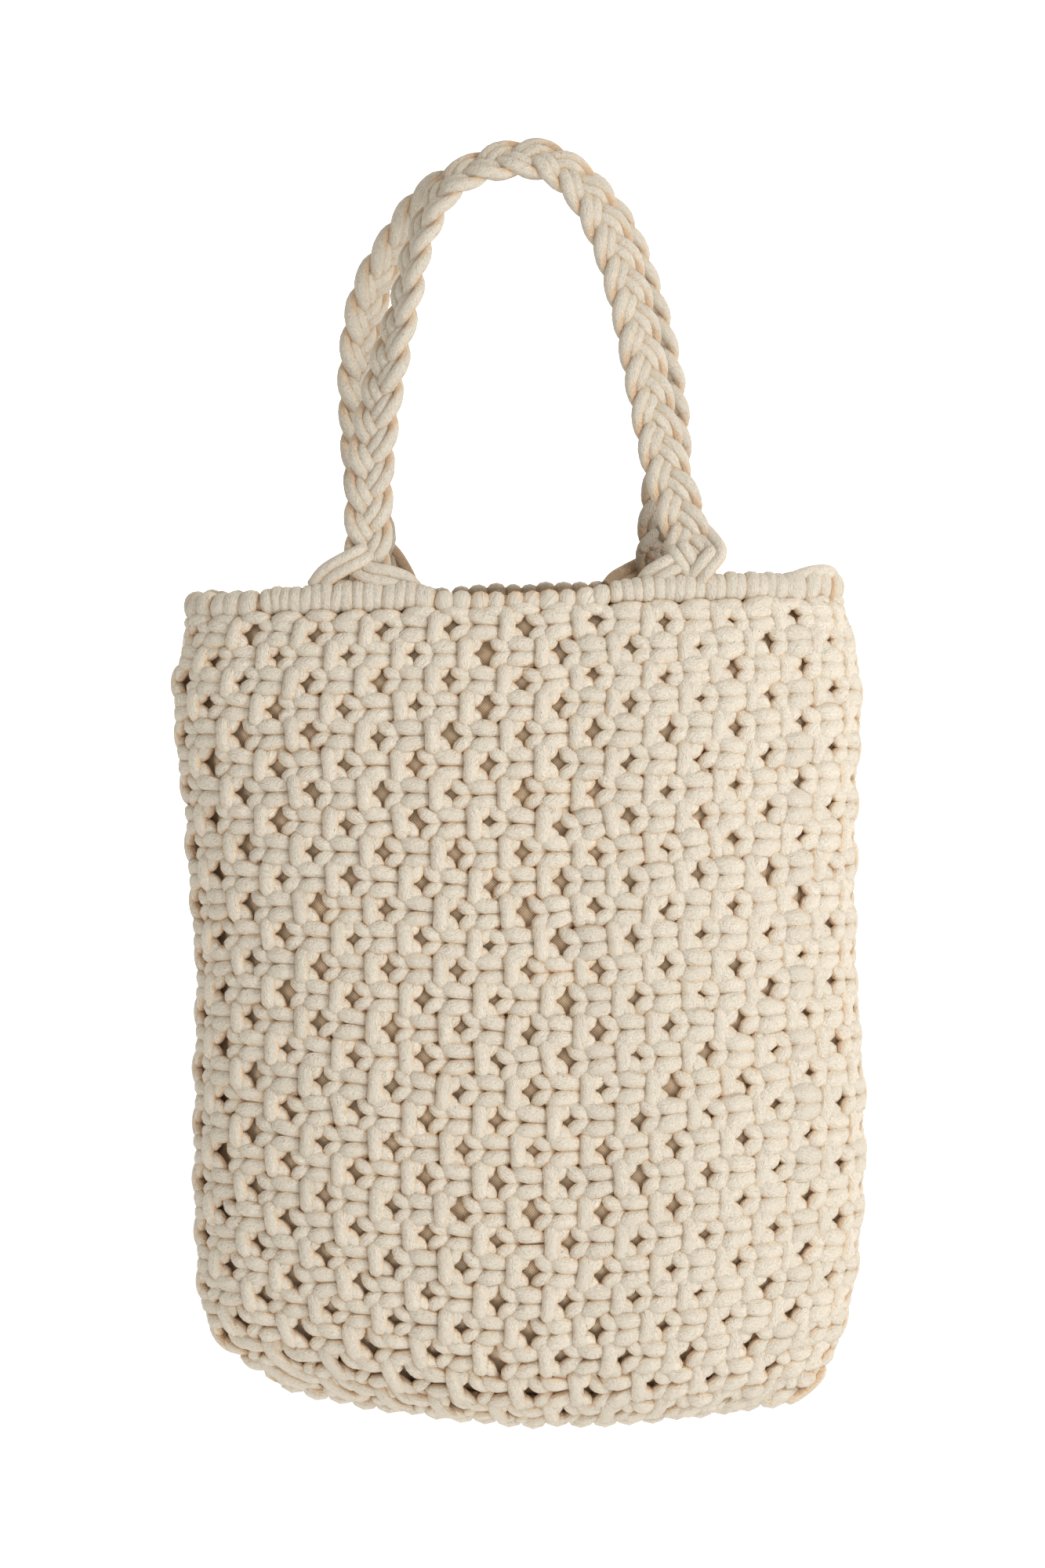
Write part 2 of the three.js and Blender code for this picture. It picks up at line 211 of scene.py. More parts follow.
def tubes(centre, radius, outward, height, sides, press=1.0, square=2.0):
    # rings of points around cords that have the same number of steps, and what their material reads
    centre, radius, outward, height = (np.asarray(v) for v in (centre, radius, outward, height))
    cords, steps = centre.shape[:2]
    along = unit(np.gradient(centre, axis=1))
    run = np.zeros((cords, steps))
    run[:, 1:] = np.cumsum(np.linalg.norm(np.diff(centre, axis=1), axis=-1), axis=1)
    side = unit(np.cross(along[:, 0], outward[:, 0] + 1e-6))
    turn = np.linspace(0, 2 * math.pi, sides, endpoint=False)
    points = np.zeros((cords, steps, sides, 3))
    crown = np.zeros((cords, steps, sides))
    fibre = np.zeros((cords, steps, sides, 3))
    start = chance.uniform(0, cotton["startWithin"], (cords, 1))
    for k in range(steps):
        side = unit(side - (side * along[:, k]).sum(-1, keepdims=True) * along[:, k])
        other = np.cross(along[:, k], side)
        spoke = np.cos(turn)[:, None] * side[:, None] + np.sin(turn)[:, None] * other[:, None]
        lift = (spoke * outward[:, k, None]).sum(-1)
        # 2 is a round section, and more is fuller at its corners
        flank = (1 - np.minimum(lift**2, 1)) ** (square / 2)
        full = (np.abs(lift) ** square + flank) ** (-1 / square)
        pressed = (spoke - ((1 - press) * lift)[..., None] * outward[:, k, None]) * full[..., None]
        points[:, k] = centre[:, k, None] + pressed * radius[:, k, None, None]
        # how far a point faces out and stands out, from 0 in the creases to 1; the lower it is, the more
        # painted crease shade the cotton gets
        over = height[:, k, None] + radius[:, k, None] * lift * press
        facing = cotton["facing"] * np.clip(lift + cotton["facingFrom"], 0, 1)
        crown[:, k] = facing + cotton["standing"] * np.clip(over / cotton["proud"], 0, 1)
        laid = turn[None] + cotton["twist"] * run[:, k, None]
        fibre[:, k, :, 0] = run[:, k, None] + start
        fibre[:, k, :, 1] = radius[:, k, None] * np.cos(laid)
        fibre[:, k, :, 2] = radius[:, k, None] * np.sin(laid)
    return points, crown, fibre


def cordMesh(name, bundles):
    # one mesh of closed tubes from several bundles of cords
    verts, crowns, fibres, tints, quads, caps = [], [], [], [], [], []
    base = 0
    for points, crown, fibre, tint in bundles:
        cords, steps, sides = points.shape[:3]
        ids = base + np.arange(cords * steps * sides).reshape(cords, steps, sides)
        beside = np.roll(ids, -1, axis=2)
        walls = np.stack([ids[:, :-1], beside[:, :-1], beside[:, 1:], ids[:, 1:]], axis=-1)
        quads.append(walls.reshape(-1, 4))
        for c in range(cords):
            caps.append(ids[c, 0, ::-1].tolist())
            caps.append(ids[c, -1].tolist())
        verts.append(points.reshape(-1, 3))
        crowns.append(crown.reshape(-1))
        fibres.append(fibre.reshape(-1, 3))
        tint = tint.reshape(tint.shape + (1,) * (3 - tint.ndim))  # one a cord, or one a point
        tints.append(np.broadcast_to(tint, points.shape[:3]).reshape(-1))
        base += cords * steps * sides
    mesh = bpy.data.meshes.new(name)
    mesh.from_pydata(np.concatenate(verts).tolist(), [], np.concatenate(quads).tolist() + caps)
    mesh.polygons.foreach_set("use_smooth", np.ones(len(mesh.polygons), bool))
    for key, values in (("crown", crowns), ("tint", tints)):
        layer = mesh.attributes.new(key, "FLOAT", "POINT")
        layer.data.foreach_set("value", np.concatenate(values).astype(np.float32))
    layer = mesh.attributes.new("fibre", "FLOAT_VECTOR", "POINT")
    layer.data.foreach_set("vector", np.concatenate(fibres).astype(np.float32).ravel())
    mesh.update()
    obj = bpy.data.objects.new(name, mesh)
    bpy.context.collection.objects.link(obj)
    return obj


def socket(node, **values):
    for key, value in values.items():
        node.inputs[key.replace("_", " ")].default_value = value
    return node


def newMaterial(name):
    material = bpy.data.materials.new(name)
    material.use_nodes = True
    tree = material.node_tree

    def make(kind, **values):
        return socket(tree.nodes.new("ShaderNode" + kind), **values)

    return material, tree.nodes["Principled BSDF"], make, tree.links.new


def colourPlug(plugs, name):
    # a Mix node has plugs of the same name for numbers and for colours
    return next(plug for plug in plugs if plug.type == "RGBA" and plug.name == name)


def maths(make, link, operation, *values):
    # each value is an output to link or a number to set
    node = make("Math")
    node.operation = operation
    for plug, value in zip(node.inputs, values):
        if isinstance(value, (int, float)):
            plug.default_value = value
        else:
            link(value, plug)
    return node.outputs[0]


def ramp(make, stops):
    node = make("ValToRGB")
    node.color_ramp.interpolation = "EASE"
    while len(node.color_ramp.elements) < len(stops):
        node.color_ramp.elements.new(0.5)
    for element, (place, colour) in zip(node.color_ramp.elements, stops):
        element.position = place
        element.color = (*colour, 1)
    return node


def cottonMaterial():
    material, shader, make, link = newMaterial("cotton cord")
    crown, tint, fibre = make("Attribute"), make("Attribute"), make("Attribute")
    crown.attribute_name, tint.attribute_name, fibre.attribute_name = "crown", "tint", "fibre"
    lay = make("Mapping", Scale=cotton["streakScale"])
    link(fibre.outputs["Vector"], lay.inputs["Vector"])
    streak = make("TexNoise", Scale=1.0, Detail=3.0, Roughness=0.65)
    link(lay.outputs["Vector"], streak.inputs["Vector"])
    lump = make("TexNoise", Scale=cotton["lumpScale"], Detail=2.0)
    grain = make("TexNoise", Scale=cotton["grainScale"], Detail=2.0, Roughness=0.6)
    speck = make("TexNoise", Scale=cotton["huskScale"], Detail=1.0)
    for noise in (lump, grain, speck):
        link(fibre.outputs["Vector"], noise.inputs["Vector"])
    # the edges of the painted crease shade wander with the lumps
    wander = maths(
        make, link, "MULTIPLY_ADD", lump.outputs["Fac"], cotton["wander"], crown.outputs["Fac"]
    )
    span = make("MapRange", From_Min=0.7, From_Max=1.19)
    link(wander, span.inputs["Value"])
    colours = ramp(make, [(cotton[key + "At"], cotton[key]) for key in ("crease", "flank", "crown")])
    link(span.outputs["Result"], colours.inputs["Fac"])
    # streaks, and each cord's tint: its own tone, with painted shade on the rim, the handles and the
    # sides that face into the bag
    mixed = maths(
        make, link, "MULTIPLY_ADD", grain.outputs["Fac"], cotton["grainShare"], streak.outputs["Fac"]
    )
    shade = make("MapRange", From_Min=0.65, From_Max=1.25, To_Min=0.85, To_Max=1.13)
    link(mixed, shade.inputs["Value"])
    both = maths(make, link, "MULTIPLY", shade.outputs["Result"], tint.outputs["Fac"])
    toned = make("VectorMath")
    toned.operation = "SCALE"
    link(colours.outputs["Color"], toned.inputs[0])
    link(both, toned.inputs["Scale"])
    # a few darker specks of husk
    few = make("MapRange", From_Min=0.77, From_Max=0.82)
    link(speck.outputs["Fac"], few.inputs["Value"])
    husk = make("Mix")
    husk.data_type = "RGBA"
    colourPlug(husk.inputs, "B").default_value = cotton["husk"]
    link(few.outputs["Result"], husk.inputs[0])
    link(toned.outputs["Vector"], colourPlug(husk.inputs, "A"))
    link(colourPlug(husk.outputs, "Result"), shader.inputs["Base Color"])
    socket(shader, Roughness=0.92, Specular_IOR_Level=0.15)
    socket(shader, Sheen_Weight=0.25, Sheen_Roughness=0.6, Sheen_Tint=(1, 0.88, 0.7, 1))
    fine = make("Bump", Strength=0.85, Distance=0.0010)
    link(mixed, fine.inputs["Height"])
    broad = make("Bump", Strength=0.7, Distance=0.0013)
    link(lump.outputs["Fac"], broad.inputs["Height"])
    link(fine.outputs["Normal"], broad.inputs["Normal"])
    link(broad.outputs["Normal"], shader.inputs["Normal"])
    return material


cord = cottonMaterial()


def takesPlace(obj, material, slot, *nodes):
    obj.data.materials.append(material)
    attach(obj, "root")
    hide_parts(*nodes)


# the net: in each column two cords run down side by side, inside one knot and around the next
net = {
    "unit": 0.0003,
    "halfPitch": 45.7,
    "rowPitch": 37.9,
    "sides": 8,
    "parts": 6,
    "press": 0.7,
    "square": 2.7,
    "tight": 0.25,  # how much thicker the cords are where the knots are drawn tightest
    "tightAt": 18,
    "tightWidth": 5.5,
    # towards the right of each side the standing bars lie lower and thinner and the crossings higher,
    # from this share of the side on, over this share, and no more at its edge
    "barLower": 4.0,
    "barThinner": 0.13,
    "crossingHigher": 1.2,
    "laidFrom": 0.4,
    "laidOver": 0.35,
    "laidEdge": 0.12,
    "barFrom": 15,  # the places across from which a cord is the bar
    "stray": (1.8, 1.5, 1.0, 0.06, 0.04),  # across, up, out, turn, size
    "runPower": 0.7,  # evens out long and short gaps between a cord's places
    # how the thickness wobbles, in steps of the run, drawn a little past its end
    "wobble": 0.045,
    "wobbleStep": 11.0,
    "wobblePast": 40,
    "shade": (0.98, 0.025),
    # each cord's place beside its column at its two ends, and row, height, radius and steps at the rim
    "endPlace": 0.11,
    "start": (-1.1, -2.0, 6.5, 2),
    "endShort": 0.45,
    # place across, place up, height over the wall's middle, radius, steps to the next one
    "inside": [(6.8, 15.5, 1.0, 7.8, 1), (7.6, 0.0, -3.0, 8.0, 1), (6.8, -15.5, 1.0, 7.8, 2)],
    # the cord that crosses the front from the right, passes round the left and crosses back
    "crossing": [
        (39.8, 21.5, 4.0, 7.2, 2),
        (34.6, 12.8, 8.6, 9.8, 2),
        (28.0, 7.6, 7.0, 8.4, 1),
        (21.0, 7.0, 2.4, 7.6, 1),
        (13.0, 7.6, 5.0, 8.2, 2),
        (4.0, 9.0, 8.0, 9.8, 2),
        (-6.0, 10.6, 9.6, 11.0, 2),
        (-15.0, 12.4, 8.8, 9.8, 2),
        (-23.4, 14.8, 4.0, 6.2, 2),
        (-28.0, 10.0, -4.5, 6.4, 1),
        (-29.5, 0.0, -6.5, 6.2, 1),
    ],
    # the cord that goes in behind from the left and stands as a bar on the right
    "standing": [
        (-40.2, 21.5, 3.5, 6.4, 2),
        (-35.6, 12.2, 7.8, 9.0, 2),
        (-27.4, 6.8, 8.6, 8.6, 2),
        (-18.0, 3.0, 2.5, 6.4, 1),
        (-10.0, 2.0, -6.0, 6.0, 1),
        (0.0, 5.0, -8.5, 6.2, 1),
        (10.0, 10.0, -7.5, 6.6, 1),
        (18.0, 15.0, -3.5, 7.6, 1),
        (23.4, 18.4, 2.6, 9.8, 2),
        (24.0, 13.0, 9.4, 11.0, 2),
        (24.4, 5.8, 12.8, 10.2, 1),
        (24.6, 0.0, 13.6, 10.0, 1),
    ],
}


def bothHalves(half):
    # a knot's lower half mirrors its upper half
    upper = np.array(half, float)
    lower = upper[-2::-1].copy()
    lower[:, 1] *= -1
    steps = np.concatenate([upper[:-1, 4], upper[-2::-1, 4]])
    path = np.concatenate([upper, lower])
    path[:-1, 4] = steps
    path[-1, 4] = 2
    return path


paths = {
    "inside": np.array(net["inside"], float),
    "crossing": bothHalves(net["crossing"]),
    "standing": bothHalves(net["standing"]),
}
# how each knot strays from the even lattice
stray = chance.normal(0, 1, (bag["rows"], bag["columns"], 5)) * np.array(net["stray"])


def layLower(path, knot, hand):
    # flattens a knot's bar and raises its crossing, as far as the knot lies to the right of its side
    half = bag["columns"] / 2
    share = (knot % half) / half
    laid = np.clip((share - net["laidFrom"]) / net["laidOver"], 0, 1)
    laid = laid * np.clip((1 - share) / net["laidEdge"], 0, 1)
    proud = np.clip(path[:, 2], 0, None) / net["standing"][-1][2] * laid
    bar = path[:, 0] > net["barFrom"]
    if hand > 0:
        path[:, 2] -= net["barLower"] * proud * bar
        path[:, 3] *= 1 - net["barThinner"] * proud * bar
    else:
        path[:, 2] += net["crossingHigher"] * proud * ~bar


def cordPath(column, hand):
    # the places of one cord from the rim to the base
    places = []
    for row in range(bag["rows"]):
        if (row + column) % 2:
            path = paths["inside"].copy()
            path[:, 0] *= hand
            knot = column
        else:
            path = paths["standing" if hand > 0 else "crossing"].copy()
            knot = column + hand
            layLower(path, knot, hand)
        dx, dy, dw, turn, size = stray[row, knot % bag["columns"]]
        x = (path[:, 0] * math.cos(turn) - path[:, 1] * math.sin(turn)) * (1 + size) + dx
        y = (path[:, 0] * math.sin(turn) + path[:, 1] * math.cos(turn)) * (1 + size / 2) + dy
        path[:, 0] = knot + x / net["halfPitch"]
        path[:, 1] = row - y / net["rowPitch"]
        path[:, 2] += dw
        places.append(path)
    places = np.concatenate(places)
    endColumn = column + hand * net["endPlace"]
    first, last = np.array([endColumn, *net["start"]]), places[-1].copy()
    last[:3] = endColumn, bag["rows"] - net["endShort"], 0
    return np.concatenate([[first], places, [last]])


def netBundle(columns, hand):
    centres, radii, outs, heights = [], [], [], []
    for column in columns:
        path = cordPath(column, hand)
        scaled = path[:, :3] * np.array([net["halfPitch"], net["rowPitch"], 1])
        places = runAlong(scaled, net["runPower"])
        spans = [
            np.linspace(places[i], places[i + 1], int(path[i, 4]), endpoint=False)
            for i in range(len(path) - 1)
        ]
        at = np.concatenate(spans + [places[-1:]])
        fine = smoothThrough(at, places, path[:, :4])
        lumps = np.arange(0, at[-1] + net["wobblePast"], net["wobbleStep"])
        wobble = np.interp(at, lumps, chance.normal(1, net["wobble"], len(lumps)))
        tight = np.exp(-(((fine[:, 0] - net["tightAt"]) / net["tightWidth"]) ** 2))
        centre, outward = onWall(fine[:, 0], fine[:, 1], fine[:, 2] * net["unit"])
        centres.append(centre)
        outs.append(outward)
        radii.append(fine[:, 3] * net["unit"] * wobble * (1 + net["tight"] * tight))
        heights.append(fine[:, 2] * net["unit"])
    made = tubes(centres, radii, outs, heights, net["sides"], net["press"], net["square"])
    return (*made, chance.normal(*net["shade"], len(columns)))


def mirrored(half):
    # a short cord's second half mirrors its first: its reach, and two measures along it
    first = np.array(half, float)
    return np.concatenate([first, first[-2::-1] * np.array([-1, 1, 1])]).T


# the row of short cords that ties the front to the back along the base
seam = {
    # reach from the middle, drop, share of the radius
    "half": [
        (-1.0, -0.0046, 0.6),
        (-0.92, -0.0028, 0.78),
        (-0.75, -0.0006, 0.92),
        (-0.45, 0.0012, 1.0),
        (0.0, 0.0019, 1.02),
    ],
    "radius": 0.0028,
    "plump": 0.06,
    "reach": 0.56,
    "first": -0.2,
    "columns": (-0.45, 20.45),  # the first and last columns of the front that a tie reaches
    "row": bag["rows"] - 0.5,
    "lower": (0.0012, 0.0004),
    "forward": (-0.0015, 0.001),
    "outward": (0, -0.6, -0.8),
    "proud": 0.0022,
    "shade": (0.98, 0.025),
}


def seamBundle():
    reach, dip, thick = mirrored(seam["half"])
    centre = []
    for c in np.arange(seam["first"], seam["columns"][1], 1.0):
        at = np.clip(c + reach * seam["reach"], *seam["columns"])
        row = np.full(len(at), seam["row"])
        front, _ = onWall(at, row, 0 * at)
        back, _ = onWall(bag["columns"] - 1 - at, row, 0 * at)
        lower = dip + chance.normal(*seam["lower"])
        centre.append((front + back) / 2 - upright * lower[:, None])
        centre[-1][:, 1] += chance.normal(*seam["forward"])
    centre = np.array(centre)
    below = np.broadcast_to(np.array(seam["outward"]), centre.shape)
    radius = np.repeat(thick[None] * seam["radius"], len(centre), axis=0)
    radius = radius * chance.normal(1, seam["plump"], (len(centre), 1))
    made = tubes(centre, radius, below, np.full(centre.shape[:2], seam["proud"]), net["sides"])
    return (*made, chance.normal(*seam["shade"], len(centre)))


perPart = bag["columns"] // net["parts"]
for part in range(net["parts"]):
    mine = range(part * perPart, (part + 1) * perPart)
    bundles = []
    for parity in (0, 1):
        columns = [c for c in mine if c % 2 == parity]
        bundles += [netBundle(columns, 1), netBundle(columns, -1)]
    if part == 0:
        bundles.append(seamBundle())
    panel = cordMesh(f"net_{part + 1}", bundles)
    takesPlace(panel, cord, "net_cord", "knotted_body")
print("net laid")

# the rim: lark's heads on a carrier cord, each a pair of wraps over a bar, and close wraps at the handles
rim = {
    "sides": 10,
    "steps": 20,
    "pairPlace": 0.23,
    "pairRadius": 0.0040,
    "pairFoot": 0.0028,
    "pairDeep": 0.0021,
    "closeRadius": 0.0031,
    "closeFoot": 0.0031,
    "closeDeep": 0.0026,
    "closePitch": 0.0038,
    "closeSpans": [(-0.098, -0.036), (0.034, 0.103)],
    "finePerColumn": 100,
    "press": 0.8,
    "turn": (-112, 248),  # where a wrap starts and ends, in degrees from straight out
    # how the wraps differ: place in columns, thickness, height, slant
    "jitter": 0.025,
    "plump": 0.06,
    "uneven": 0.03,
    "slant": (0.0003, 0.0004),
    "proud": 0.002,
    # each wrap's own tone, set darker than the net's as painted shade
    "shade": (0.88, 0.02),
    # the side towards the inside of the bag gets painted shade, as if in the shadow of the cloth: darker,
    # and nearer the crease colour
    "innerFrom": 0.1,
    "innerFull": 0.6,
    "innerShade": 0.5,
    "innerCrease": 0.32,
    # place across, height of the front rim over its bars
    "frontHeight": [
        (-0.128, 0.0110),
        (-0.095, 0.0112),
        (-0.075, 0.0130),
        (-0.058, 0.0136),
        (-0.042, 0.0122),
        (-0.030, 0.0084),
        (-0.015, 0.0066),
        (0.010, 0.0064),
        (0.026, 0.0078),
        (0.036, 0.0104),
        (0.052, 0.0122),
        (0.080, 0.0122),
        (0.100, 0.0116),
        (0.114, 0.0130),
        (0.128, 0.0124),
    ],
    "backHeight": 0.0124,
    "backOver": 0.03,  # the depth over which the front's height turns to the back's
    "carrierRadius": 0.0028,
    "carrierSteps": 221,
    "carrierSides": 8,
    "carrierLower": 0.0004,
    "carrierProud": -0.002,
    "carrierShade": 0.9,
    # half a bar: reach from the middle, height over the wall's middle, share of the radius
    "barHalf": [
        (-1.0, -2.0, 0.66),
        (-0.93, 1.5, 0.78),
        (-0.8, 5.0, 0.9),
        (-0.55, 8.2, 0.98),
        (-0.25, 9.6, 1.0),
        (0.0, 9.9, 1.0),
    ],
    "barDrop": 0.0108,
    "barReach": 18.5,
    "barRadius": 0.0026,
    "barPlump": 0.05,
    "barUneven": 0.0005,
    "barDroop": 0.0006,
    "barShade": (0.95, 0.02),
    # the carrier's thick end at the right
    "endColumns": (18.1, 20.6),
    "endSteps": 12,
    "endSides": 12,
    "endRadius": 0.0036,
    "endRound": 0.25,
    "endSunk": 0.0028,
    "endLift": 0.0009,
    "endOut": 0.0002,
    "endProud": 0.003,
    "endShade": 1.0,
    # the loose end of the sewing thread, under the bars at the right
    "threadColumns": (18.62, 19.22),
    "threadDrops": (0.0121, 0.0131),
    "threadSteps": 8,
    "threadSides": 6,
    "threadRadius": 0.0004,
    "threadOut": 0.0046,
    "threadArch": 0.0014,
    "threadProud": 0.006,
    "threadShade": 1.2,
}


def rimFrame(column, drop):
    # a point over the net's upper edge at this drop, and the level ways along and out
    place, out = onWall(column, -0.5 + 0 * column, 0 * column)
    ahead, _ = onWall(column + 0.2, -0.5 + 0 * column, 0 * column)
    along = unit(ahead - place)
    level = unit(np.cross(along, upright))
    level = np.where((level * out).sum(-1, keepdims=True) < 0, -level, level)
    return place + (bag["levels"][0][0] - drop) * upright, along, level


def rimHeight(place):
    tall = np.array(rim["frontHeight"])
    front = np.interp(place[..., 0], tall[:, 0], tall[:, 1])
    share = np.clip(0.5 + place[..., 1] / rim["backOver"], 0, 1)
    return front * (1 - share) + rim["backHeight"] * share


def wrapPlaces():
    # the columns of the wraps, close ones at the handles' roots and pairs elsewhere
    last = bag["columns"] * rim["finePerColumn"]
    fine = np.linspace(-0.5, bag["columns"] - 0.5, last + 1)
    line, _, _ = rimFrame(fine, rim["barDrop"])
    run = runAlong(line)
    isClose = np.zeros(len(fine), bool)
    for low, high in rim["closeSpans"]:
        isClose |= (line[:, 0] > low) & (line[:, 0] < high)
    columns, close = [], []
    edges = np.flatnonzero(np.diff(isClose.astype(int)))
    for start, end in zip(edges[:-1], edges[1:]):
        if isClose[start + 1]:
            count = int((run[end] - run[start]) / rim["closePitch"])
            at = run[start] + (np.arange(count) + 0.5) * (run[end] - run[start]) / count
            columns += list(np.interp(at, run, fine))
            close += [True] * count
    for c in range(bag["columns"]):
        for hand in (-1, 1):
            at = c + hand * rim["pairPlace"]
            if not isClose[int(np.clip((at + 0.5) * rim["finePerColumn"], 0, last))]:
                columns.append(at)
                close.append(False)
    return np.array(columns), np.array(close)


def wraps():
    column, close = wrapPlaces()
    count = len(column)
    column = column + chance.normal(0, rim["jitter"], count)
    place, along, level = rimFrame(column, rim["barDrop"])
    radius = np.where(close, rim["closeRadius"], rim["pairRadius"])
    radius = radius * chance.normal(1, rim["plump"], count)
    top = rimHeight(place) * chance.normal(1, rim["uneven"], count) - radius * rim["press"]
    foot = np.where(close, rim["closeFoot"], rim["pairFoot"])
    deep = np.where(close, rim["closeDeep"], rim["pairDeep"])
    slant = chance.normal(*rim["slant"], count)
    turn = np.radians(np.linspace(*rim["turn"], rim["steps"]))
    spoke = (
        np.cos(turn)[None, :, None] * level[:, None] * deep[:, None, None]
        + np.sin(turn)[None, :, None] * upright * ((top - foot) / 2)[:, None, None]
    )
    centre = (
        place[:, None]
        + ((top + foot) / 2)[:, None, None] * upright
        + spoke
        + (slant[:, None] * np.sin(turn)[None])[..., None] * along[:, None]
    )
    thick = np.repeat(radius[:, None], rim["steps"], axis=1)
    height = np.full(thick.shape, rim["proud"])
    points, crown, fibre = tubes(centre, thick, unit(spoke), height, rim["sides"], rim["press"])
    # painted shade on the side of each wrap that faces into the bag: darker, and nearer the crease colour
    inner = np.clip(-np.cos(turn) - rim["innerFrom"], 0, rim["innerFull"]) / rim["innerFull"]
    inner = inner[None, :, None]
    shade = chance.normal(*rim["shade"], (count, 1, 1)) * (1 - rim["innerShade"] * inner)
    return points, crown - rim["innerCrease"] * inner, fibre, shade * np.ones(crown.shape)


def oneCord(centre, radius, outward, key):
    # a bundle of a single cord, with the settings that start with its key
    height = np.full((1, len(centre)), rim[key + "Proud"])
    made = tubes(centre[None], radius[None], outward[None], height, rim[key + "Sides"])
    return (*made, np.array([rim[key + "Shade"]]))


def carrier():
    # the cord that the wraps go around, once round the mouth
    column = np.linspace(-0.5, bag["columns"] - 0.5, rim["carrierSteps"])
    place, _, level = rimFrame(column, rim["barDrop"])
    centre = place + (rimHeight(place) / 2 - rim["carrierLower"])[:, None] * upright
    return oneCord(centre, np.full(len(column), rim["carrierRadius"]), level, "carrier")


def bars():
    column = np.arange(bag["columns"]) + chance.normal(0, rim["jitter"], bag["columns"])
    reach, out, thick = mirrored(rim["barHalf"])
    out = out * net["unit"]
    centres, outs = [], []
    for c in column:
        at = c + reach * rim["barReach"] / net["halfPitch"]
        place, _, level = rimFrame(at, rim["barDrop"] + chance.normal(0, rim["barUneven"]))
        lean = chance.normal(0, rim["barUneven"]) * reach - rim["barDroop"] * np.abs(reach) ** 3
        centres.append(place + level * out[:, None] + upright * lean[:, None])
        outs.append(level)
    radius = np.repeat(thick[None] * rim["barRadius"], len(column), axis=0)
    radius = radius * chance.normal(1, rim["barPlump"], (len(column), 1))
    made = tubes(centres, radius, outs, np.repeat(out[None], len(column), axis=0), rim["sides"])
    return (*made, chance.normal(*rim["barShade"], len(column)))


def endLump():
    # the carrier cord's thick end, laid along the rim
    column = np.linspace(*rim["endColumns"], rim["endSteps"])
    place, _, level = rimFrame(column, rim["barDrop"])
    turn = np.linspace(rim["endRound"], math.pi - rim["endRound"], rim["endSteps"])
    shape = np.sin(turn) ** 0.5
    rise = rimHeight(place) - rim["endSunk"] + rim["endLift"] * shape
    centre = place + rise[:, None] * upright + level * rim["endOut"]
    return oneCord(centre, rim["endRadius"] * shape, unit(level + upright), "end")


def sewingThread():
    # the loose end of the thread that holds the lining
    steps = rim["threadSteps"]
    drop = np.linspace(*rim["threadDrops"], steps)
    place, _, level = rimFrame(np.linspace(*rim["threadColumns"], steps), drop[:, None])
    arch = np.sin(np.linspace(0, math.pi, steps))
    centre = place + level * (rim["threadOut"] + rim["threadArch"] * arch)[:, None]
    return oneCord(centre, np.full(steps, rim["threadRadius"]), level, "thread")


rimCords = cordMesh("rim_wraps", [wraps(), carrier(), bars(), endLump(), sewingThread()])
takesPlace(rimCords, cord, "rim_cord", "rim_band")
print("rim wrapped")

